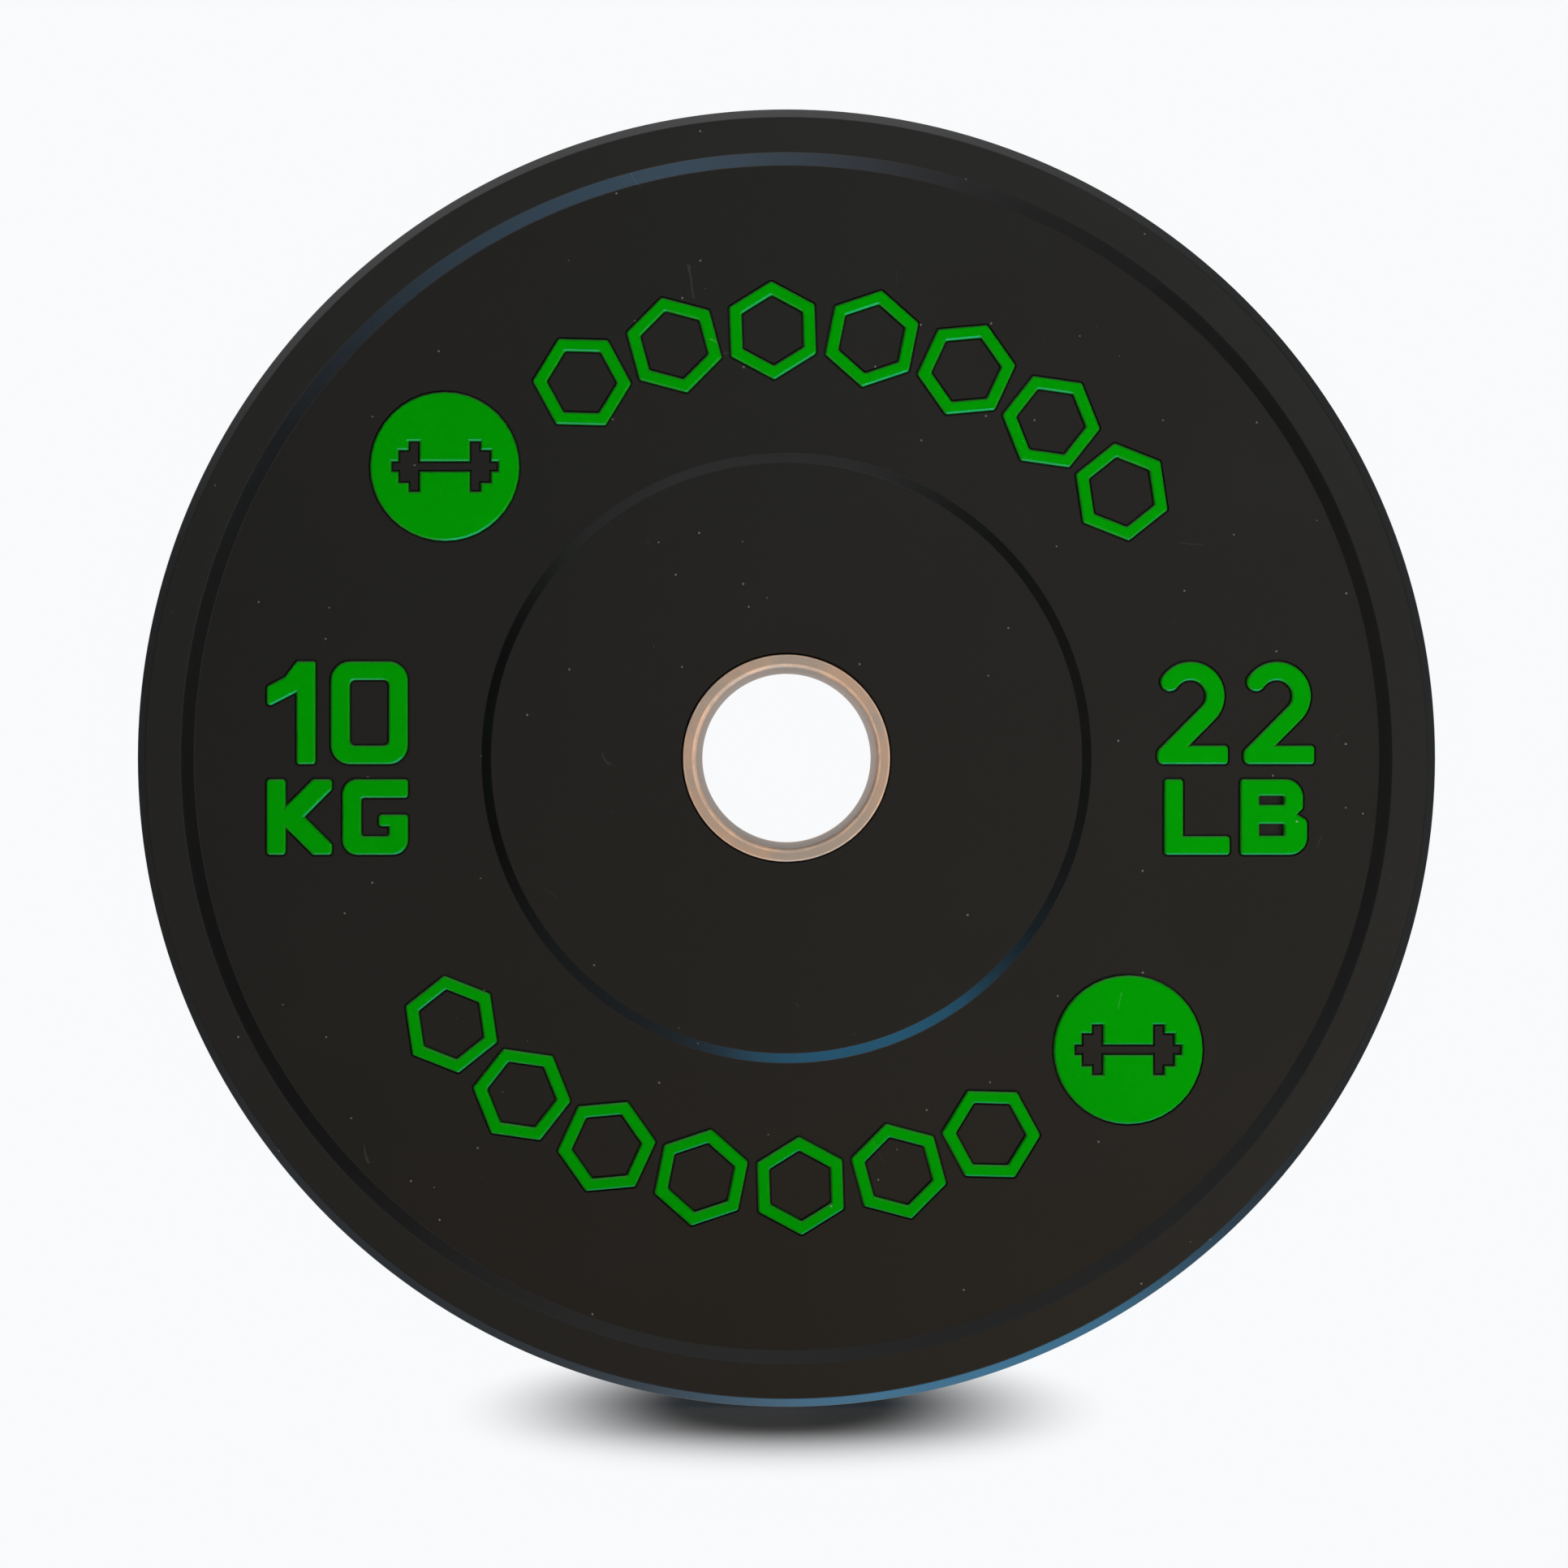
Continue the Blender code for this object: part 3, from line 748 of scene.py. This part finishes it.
@dataclass
class RubberDisc:
    """The black rubber body: hub, field, rim, chamfered tread, pockets and the flange's groove."""

    chamfer_width: float = 0.0031
    chamfer_depth: float = 0.0030
    rim_width: float = 0.0098
    rim_slope: float = 0.0034
    field_depth: float = 0.0025
    hub_radius: float = 0.0833
    hub_slope: float = 0.0030
    step_round: float = 0.0005
    chamfer_round: float = 0.0006
    parting_height: float = 0.00022
    parting_width: float = 0.0006
    flange_fit: float = 0.0003
    peg_radius: float = 0.0057
    peg_count: int = 8
    steps: int = 288
    node: str = "rubber_body"

    def profile(self) -> Loop:
        """The profile from the sleeve over the front, round the tread, over the back and the groove."""
        inner, _ = radii(self.node)
        outer = half_width(self.node)
        tread = outer - self.parting_height
        top = end_level(self.node)
        floor = top - self.field_depth
        rim_inner = outer - self.chamfer_width - self.rim_width
        front = loop_of(
            self.step_round,
            (inner, top),
            (self.hub_radius, top),
            (self.hub_radius + self.hub_slope, floor),
            (rim_inner - self.rim_slope, floor),
            (rim_inner, top),
            (outer - self.chamfer_width, top, self.chamfer_round),
            (tread, top - self.chamfer_depth, self.chamfer_round),
            (tread, self.parting_width, 0),
            (outer, self.parting_width / 3, 0),
        )
        back = [Corner(x, -y, radius) for x, y, radius in reversed(front)]
        groove_radius = radii("anchor_flange")[1] + self.flange_fit
        groove_level = end_level("anchor_flange") + self.flange_fit
        groove = box_loop(inner, -groove_level, groove_radius, groove_level, 0)
        return front + back + groove

    def pegs(self) -> list[Object]:
        """The rubber that runs through the flange's holes."""
        reach = end_level("anchor_flange") + self.flange_fit + CUT_MARGIN
        circle = sum(radii("anchor_flange")) / 2
        made = []
        for number in range(self.peg_count):
            angle = 2 * math.pi * number / self.peg_count
            ring = arc(circle * math.cos(angle), circle * math.sin(angle), self.peg_radius, 0, 360)[:-1]
            made.append(flat_solid(f"peg_{number}", [rounded(ring)], -reach, reach, 0, Face.FRONT))
        return made

    def build(self, pockets: list[Object], material: Material) -> None:
        """Turn the disc, join its pegs, cut its pockets and dress it."""
        disc = turned("rubber_disc", self.profile(), self.steps)
        cut_and_join(disc, pockets, self.pegs())
        mount(disc, self.node, material)


@dataclass
class BoreSleeve:
    """The metal tube that lines the bore, with a soft lip at each end."""

    lip_round: float = 0.0012
    outer_round: float = 0.0005
    steps: int = 192
    node: str = "bore_sleeve"

    def build(self, material: Material) -> None:
        """Turn the sleeve and dress it."""
        inner = radii(self.node)[0]
        outer = half_width(self.node)
        end = end_level(self.node)
        front = [Corner(inner, end, self.lip_round), Corner(outer, end, self.outer_round)]
        back = [Corner(x, -y, radius) for x, y, radius in reversed(front)]
        mount(turned("turned_sleeve", front + back, self.steps), self.node, material)


@dataclass
class AnchorFlange:
    """The steel ring inside the rubber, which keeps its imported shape."""

    node: str = "anchor_flange"

    def build(self, material: Material) -> None:
        """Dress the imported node."""
        item = frame["nodes"][self.node]
        item.data.materials.clear()
        item.data.materials.append(material)
        log.info("%s keeps its packed shape", self.node)


@dataclass
class WeightMarks:
    """The digits and unit letters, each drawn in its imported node's width and height."""

    stroke: float = 0.0052
    corner: float = 0.0009
    flag_slope: float = math.tan(math.radians(27))
    flag_drop: float = 0.0086
    flag_bend: float = 0.0050
    zero_outer: float = 0.0054
    zero_inner: float = 0.0016
    bowl_radius: float = 0.0096
    bowl_reach: float = 0.01055
    bowl_tip: float = 146.0
    arm_tip: float = 0.0029
    crotch: float = 0.0028
    g_round: float = 0.0042
    spur_length: float = 0.0081
    mouth_share: float = 0.44
    foot_share: float = 0.26
    b_waist: float = 0.0017
    b_upper: float = 0.0012
    b_round: float = 0.0050
    b_lower_hole: float = 0.0034
    b_upper_hole: float = 0.0026
    b_thinner_top: float = 0.0007

    def drawings(self) -> dict[str, Callable[[float, float], list[Loop]]]:
        """The function that draws each node, by the node's name without its face."""
        return {
            "digit_1": self.one,
            "digit_0": self.zero,
            "letter_k": self.letter_k,
            "letter_g": self.letter_g,
            "digit_2_left": self.two,
            "digit_2_right": self.two,
            "letter_l": self.letter_l,
            "letter_b": self.letter_b,
        }

    def one(self, width: float, height: float) -> list[Loop]:
        """A 1 with a slanting flag."""
        stem = width - self.stroke
        under_flag = height - self.flag_drop
        flag_bottom = under_flag - stem * self.flag_slope
        flag_top = flag_bottom + self.stroke * math.hypot(1, self.flag_slope)
        outline = loop_of(
            self.corner,
            (stem, 0),
            (width, 0),
            (width, height, self.corner / 2),
            (stem, height, self.corner / 2),
            (self.flag_bend, flag_top + self.flag_bend * self.flag_slope, 0),
            (0, flag_top),
            (0, flag_bottom),
            (stem, under_flag, 0),
        )
        return [outline]

    def zero(self, width: float, height: float) -> list[Loop]:
        """A 0 like a rounded box."""
        stroke = self.stroke
        inner = box_loop(stroke, stroke, width - stroke, height - stroke, self.zero_inner)
        return [box_loop(0, 0, width, height, self.zero_outer), inner[::-1]]

    def two(self, width: float, height: float) -> list[Loop]:
        """A 2 with a round bowl, a slanting back and a flat foot."""
        stroke = self.stroke
        bowl_x = width - self.bowl_reach
        bowl_y = height - self.bowl_radius
        middle = self.bowl_radius - stroke / 2
        inside = self.bowl_radius - stroke
        heel = Vector((stroke / 2 - bowl_x, stroke / 2 - bowl_y))
        back = math.atan2(heel.y, heel.x) + math.acos(middle / heel.length)
        slope = math.tan(back)
        outer_x = bowl_x + self.bowl_radius * math.cos(back)
        outer_y = bowl_y + self.bowl_radius * math.sin(back)
        inner_x = bowl_x + inside * math.cos(back)
        inner_y = bowl_y + inside * math.sin(back)
        tip = math.radians(self.bowl_tip)
        start = math.degrees(back)
        foot = loop_of(
            self.corner,
            (0, inner_y + inner_x / slope, 2 * self.corner),
            (0, 0, 2 * self.corner),
            (width, 0),
            (width, stroke),
            (outer_x + (outer_y - stroke) * slope, stroke, 0),
        )
        outside = arc(bowl_x, bowl_y, self.bowl_radius, start, self.bowl_tip)
        end_x = bowl_x + middle * math.cos(tip)
        end_y = bowl_y + middle * math.sin(tip)
        end = arc(end_x, end_y, stroke / 2, self.bowl_tip, self.bowl_tip + 180)
        return [foot + outside + end[1:-1] + arc(bowl_x, bowl_y, inside, self.bowl_tip, start)]

    def letter_k(self, width: float, height: float) -> list[Loop]:
        """A K with arms at 45 degrees."""
        middle = height / 2
        notch = width - middle + self.arm_tip
        arm = self.stroke + middle - self.crotch
        lower = loop_of(
            self.corner,
            (0, 0),
            (self.stroke, 0),
            (self.stroke, middle - self.crotch, 0),
            (arm, 0),
            (width, 0),
            (width, self.arm_tip),
        )
        upper = [Corner(x, height - y, radius) for x, y, radius in reversed(lower)]
        return [lower + [Corner(notch, middle)] + upper]

    def letter_g(self, width: float, height: float) -> list[Loop]:
        """A square G with a short spur."""
        stroke = self.stroke
        bar = height - stroke
        counter = bar - stroke
        spur_top = bar - self.mouth_share * counter
        spur_bottom = stroke + self.foot_share * counter
        outline = loop_of(
            self.corner,
            (0, 0, self.g_round),
            (width, 0, self.g_round),
            (width, spur_top),
            (width - self.spur_length, spur_top),
            (width - self.spur_length, spur_bottom),
            (width - stroke, spur_bottom, 0),
            (width - stroke, stroke),
            (stroke, stroke),
            (stroke, bar),
            (width, bar),
            (width, height),
            (0, height, self.g_round),
        )
        return [outline]

    def letter_l(self, width: float, height: float) -> list[Loop]:
        """An L."""
        outline = loop_of(
            self.corner,
            (0, 0),
            (width, 0),
            (width, self.stroke),
            (self.stroke, self.stroke, 0),
            (self.stroke, height),
            (0, height),
        )
        return [outline]

    def letter_b(self, width: float, height: float) -> list[Loop]:
        """A B with a smaller upper bowl."""
        upper_width = width - self.b_upper
        bar = (height - self.b_lower_hole - self.b_upper_hole + self.b_thinner_top) / 3
        middle = bar + self.b_lower_hole
        waist = middle + bar / 2
        upper_start = middle + bar
        hole_right = upper_width - self.stroke
        outer = loop_of(
            self.corner,
            (0, 0),
            (width, 0, self.b_round),
            (width, waist - self.b_waist, 2 * self.corner),
            (upper_width - self.b_waist, waist, 0),
            (upper_width, waist + self.b_waist),
            (upper_width, height, self.b_round),
            (0, height),
        )
        upper_end = upper_start + self.b_upper_hole
        lower = box_loop(self.stroke, bar, hole_right, middle, self.corner / 2)
        upper = box_loop(self.stroke, upper_start, hole_right, upper_end, self.corner / 2)
        return [outer, lower[::-1], upper[::-1]]


@dataclass
class Badge:
    """The disc with a plain dumb-bell shape cut through it."""

    margin: float = 0.0058
    stub_length: float = 0.0020
    end_plate_width: float = 0.0029
    plate_width: float = 0.0033
    handle_half: float = 0.0015
    plate_half: float = 0.0072
    end_plate_half: float = 0.0047

    def loops(self, width: float, _: float) -> list[Loop]:
        """The disc's outline and the dumb-bell's, about their centre, by the disc's width."""
        end = width / 2 - self.margin
        end_plate = end - self.stub_length
        plate = end_plate - self.end_plate_width
        handle = plate - self.plate_width
        upper_right = [
            (handle, self.handle_half),
            (handle, self.plate_half),
            (plate, self.plate_half),
            (plate, self.end_plate_half),
            (end_plate, self.end_plate_half),
            (end_plate, self.handle_half),
            (end, self.handle_half),
        ]
        right = upper_right + [(x, -y) for x, y in reversed(upper_right)]
        cut = [Corner(x, y) for x, y in right] + [Corner(-x, -y) for x, y in right]
        return [arc(0, 0, width / 2, 0, 360)[:-1], cut]


@dataclass
class HexagonRing:
    """One ring of a curved row, with a point towards the rim."""

    stroke: float = 0.0033
    width: float = 0.0240
    corner: float = 0.0008

    def loops(self, *_: float) -> list[Loop]:
        """Its outer and inner hexagon, about their centre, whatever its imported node's size."""
        outer = self.hexagon(self.width / math.sqrt(3))
        inner = self.hexagon((self.width - 2 * self.stroke) / math.sqrt(3))
        return [outer, inner[::-1]]

    def hexagon(self, radius: float) -> Loop:
        """A hexagon with a point at the top."""
        angles = [math.radians(90 + 60 * k) for k in range(6)]
        return [Corner(radius * math.cos(a), radius * math.sin(a), self.corner) for a in angles]


@dataclass
class Inlays:
    """The green inlays of both faces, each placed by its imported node, and their pockets."""

    bevel: float = 0.00045
    fit: float = 0.0006
    hexagons: int = 7
    marks: WeightMarks = field(default_factory=WeightMarks)
    badge: Badge = field(default_factory=Badge)
    hexagon: HexagonRing = field(default_factory=HexagonRing)

    def build(self, material: Material) -> list[Object]:
        """Build every inlay.

        Args:
            material: The inlays' finish.

        Returns:
            The solids to cut from the rubber for their pockets.
        """
        marks = self.marks.drawings()
        badges = {f"badge_{row}": self.badge.loops for row in ("upper", "lower")}
        names = [f"{row}_hexagon_{k + 1}" for row in ("upper", "lower") for k in range(self.hexagons)]
        rings = dict.fromkeys(names, self.hexagon.loops)
        pockets = []
        for face in Face:
            for name, draw in {**marks, **badges, **rings}.items():
                node = f"{face.name.lower()}_{name}"
                low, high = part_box(node)
                left, right = sorted((face.value * low.x, face.value * high.x))
                x, y = (left, low.z) if name in marks else ((left + right) / 2, (low.z + high.z) / 2)
                spin = math.atan2(y, x) - math.pi / 2 if name in rings else 0
                loops = draw(right - left, high.z - low.z)
                pockets.append(self.inlay(node, loops, x, y, spin, face, material))
        return pockets

    def inlay(
        self,
        node: str,
        loops: list[Loop],
        x: float,
        y: float,
        spin: float,
        face: Face,
        material: Material,
    ) -> Object:
        """Build one inlay and the solid that cuts its pocket.

        Args:
            node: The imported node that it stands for.
            loops: Its outline, about its own origin.
            x: Where that origin is on the face.
            y: Its height there.
            spin: The outline's turn, counter-clockwise in radians.
            face: The face that it is on.
            material: Its finish.

        Returns:
            The pocket's solid.
        """
        turn = Matrix.Rotation(spin, 2)
        placed = []
        for loop in loops:
            moved = [turn @ Vector(point[:2]) + Vector((x, y)) for point in rounded(loop)]
            placed.append([Point(place.x, place.y) for place in moved])
        low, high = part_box(node)
        bottom, top = sorted((abs(low.y), abs(high.y)))
        solid = flat_solid(f"{node}_moulded", placed, bottom, top, self.bevel, face)
        # Keeps the inlays' green out of the floor's shadow.
        solid.visible_diffuse = False
        mount(solid, node, material)
        wider = [grown(loop, self.fit) for loop in placed]
        ceiling = end_level("rubber_body") + CUT_MARGIN
        return flat_solid(f"{node}_pocket", wider, bottom - self.fit, ceiling, 0, face)


# The studio


@dataclass(frozen=True)
class Band:
    """A stretch of a direction's Z over which the room's colour changes, from the ceiling down."""

    high: float
    low: float
    colour: Colour


@dataclass(frozen=True)
class Glow:
    """A round patch of light in the room, which only glossy surfaces show.

    The edge and the core are cosines of the angle from its centre.
    """

    centre: Triple
    edge: float
    core: float
    colour: Colour


@dataclass
class Studio:
    """A pale floor with a soft shadow, a white background and soft light.

    Each pair of limits says where along an axis a part of the room starts and where it is full.
    """

    background: Colour = (0.947, 0.956, 0.973)
    ambient: float = 0.025
    ceiling: Colour = (0.61, 0.61, 0.61)
    bands: tuple[Band, ...] = (
        Band(0.45, 0.02, (0.58, 0.59, 0.55)),
        Band(-0.04, -0.22, (0.74, 0.50, 0.26)),
        Band(-0.40, -0.70, (1.65, 1.03, 0.62)),
    )
    glows: tuple[Glow, ...] = (
        Glow((-0.60, 0.05, -0.80), 0.86, 0.97, (0.17, 0.22, 0.27)),
        Glow((0.28, -0.06, -0.95), 0.84, 0.95, (0.30, 2.1, 3.8)),
        Glow((-0.38, 0.25, 0.88), 0.74, 0.93, (0.64, 0.64, 0.64)),
        Glow((-0.57, -0.81, -0.12), 0.93, 0.98, (0.46, 0.46, 0.44)),
        Glow((0.57, -0.81, -0.12), 0.93, 0.98, (0.46, 0.46, 0.44)),
        Glow((-0.50, -0.65, 0.57), 0.86, 0.97, (0.30, 0.31, 0.33)),
    )
    left_limits: Limits = (0.32, -0.46)
    right_limits: Limits = (0.15, 0.65)
    side_share: float = 0.03
    wall_limits: Limits = (0.25, 0.70)
    wall_end_limits: Limits = (0.3, 0.8)
    wall_end_share: float = 0.80
    floor_size: float = 60.0
    shadow_core: float = 0.0265
    shadow_edge: float = 0.096
    shadow_centre: Triple = (-0.0016, -0.0254, 0.0)
    top_strength: float = 2.7
    top_tilt: float = -10.0
    top_angle: float = 12.0
    side_power: float = 8.5
    side_place: Triple = (0.62, -0.98, -0.172)
    side_size: tuple[float, float] = (0.4, 0.02)

    def build(self) -> None:
        """Build the floor, the world and the lamps."""
        self.floor()
        self.world()
        self.top_lamp()
        for face in Face:
            self.side_lamp(face)

    def seen(self, nodes: Nodes) -> Socket:
        """1 for the rays that show the background: the camera's and those through glass."""
        rays = nodes.add("ShaderNodeLightPath").outputs
        return nodes.math("MAXIMUM", rays["Is Camera Ray"], rays["Is Transmission Ray"])

    def floor(self) -> None:
        """A pale floor under the tread, which turns into the background round the shadow."""
        half = self.floor_size / 2
        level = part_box("rubber_body")[0].z
        shape = bmesh.new()
        corners = box_loop(-half, -half, half, half, 0)
        shape.faces.new([shape.verts.new((x, y, level)) for x, y, _ in corners])
        item = as_object("floor", shape)
        item.visible_glossy = False
        material, nodes, shader = new_material("pale_floor")
        white = (*self.background, 1)
        nodes.feed(shader, {"Base Color": white, "Roughness": 1.0, "Specular IOR Level": 0.0})
        flat = nodes.vector("MULTIPLY", nodes.position(), (1, 1, 0))
        away = nodes.vector("DISTANCE", flat, self.shadow_centre, result="Value")
        clear = nodes.times(nodes.ramp(away, self.shadow_core, self.shadow_edge), self.seen(nodes))
        white = nodes.add("ShaderNodeEmission", {"Color": white, "Strength": 1.0})
        blend = nodes.add("ShaderNodeMixShader", {0: clear, 1: shader.outputs[0], 2: white.outputs[0]})
        nodes.feed(nodes.tree.nodes["Material Output"], {"Surface": blend.outputs[0]})
        item.data.materials.append(material)

    def world(self) -> None:
        """White to the camera, a dim even light to matt surfaces, and a room to glossy ones.

        The room has bands from its ceiling down, is dim at both sides and white behind the plate as
        the front view sees it, and has glows over all that.
        """
        world = bpy.data.worlds.new("studio")
        bpy.context.scene.world = world
        world.use_nodes = True
        nodes = Nodes(world.node_tree)
        direction = nodes.add("ShaderNodeTexCoord").outputs["Generated"]
        axes = nodes.add("ShaderNodeSeparateXYZ", {0: direction}).outputs
        room = nodes.add("ShaderNodeRGB").outputs[0]
        room.default_value = (*self.ceiling, 1)
        for band in self.bands:
            room = nodes.mix(nodes.ramp(axes["Z"], band.high, band.low), room, band.colour)
        left = nodes.ramp(axes["X"], *self.left_limits, 1, self.side_share)
        right = nodes.ramp(axes["X"], *self.right_limits, 1, self.side_share)
        shade = nodes.times(left, right)
        room = nodes.add("ShaderNodeVectorMath", {0: room, "Scale": shade}, operation="SCALE").outputs[0]
        sideways = nodes.math("ABSOLUTE", axes["X"])
        ends = nodes.ramp(sideways, *self.wall_end_limits, 1, self.wall_end_share)
        wall = nodes.ramp(axes["Y"], *self.wall_limits)
        room = nodes.mix(nodes.times(wall, ends), room, self.background)
        for glow in self.glows:
            near = nodes.vector("DOT_PRODUCT", direction, glow.centre, result="Value")
            room = nodes.mix(nodes.ramp(near, glow.edge, glow.core), room, glow.colour)
        glossy = nodes.add("ShaderNodeLightPath").outputs["Is Glossy Ray"]
        lit = nodes.mix(glossy, (self.ambient,) * 3, room)
        colour = nodes.mix(self.seen(nodes), lit, self.background)
        nodes.feed(nodes.tree.nodes["Background"], {"Color": colour})

    def top_lamp(self) -> None:
        """A soft, even lamp that shines down, tilted about X. Surfaces don't mirror it."""
        lamp = bpy.data.lights.new("top_light", "SUN")
        lamp.energy = self.top_strength
        lamp.angle = math.radians(self.top_angle)
        item = new_object("top_light", lamp)
        item.rotation_euler.x = math.radians(self.top_tilt)
        item.visible_glossy = False

    def side_lamp(self, face: Face) -> None:
        """A wide, low lamp at the right of a face, as the face is seen. Surfaces don't mirror it."""
        lamp = bpy.data.lights.new(f"{face.name.lower()}_light", "AREA")
        lamp.energy = self.side_power
        lamp.shape = "RECTANGLE"
        lamp.size, lamp.size_y = self.side_size
        item = new_object(lamp.name, lamp)
        x, y, z = self.side_place
        item.location = (face.value * x, face.value * y, z)
        item.rotation_euler = (-item.location).to_track_quat("-Z", "Y").to_euler()
        item.visible_camera = False
        item.visible_glossy = False
        item.visible_transmission = False


@dataclass
class PhotoCamera:
    """A camera on the plate's axis, as far away as the photograph's perspective says."""

    distance: float = 0.867
    focal_pixels: float = 3788.0
    image_size: float = 1932.0
    hub_column: float = 969.0
    hub_row: float = 934.0
    nearest: float = 0.05
    farthest: float = 200.0

    def build(self) -> None:
        """Add the camera and make it the scene's."""
        data = bpy.data.cameras.new("photo_camera")
        data.lens = data.sensor_width * self.focal_pixels / self.image_size
        data.shift_x = (self.image_size / 2 - self.hub_column) / self.image_size
        data.shift_y = (self.hub_row - self.image_size / 2) / self.image_size
        data.clip_start = self.nearest
        data.clip_end = self.farthest
        item = new_object("photo_camera", data)
        item.location.y = -(end_level("rubber_body") + self.distance)
        item.rotation_euler.x = math.radians(90)
        bpy.context.scene.camera = item


def main() -> None:
    """Build the plate's looks, the studio and the camera."""
    logging.basicConfig(level=logging.INFO, format="%(name)s: %(message)s")
    effects = Effects()
    pockets = Inlays().build(GREEN_RUBBER.material(effects))
    RubberDisc().build(pockets, BLACK_RUBBER.material(effects))
    BoreSleeve().build(BRONZED_STEEL.material(effects))
    AnchorFlange().build(ZINC_STEEL.material(effects))
    Studio().build()
    PhotoCamera().build()
    bpy.context.scene.view_settings.view_transform = "Standard"


if __name__ == "__main__":
    main()
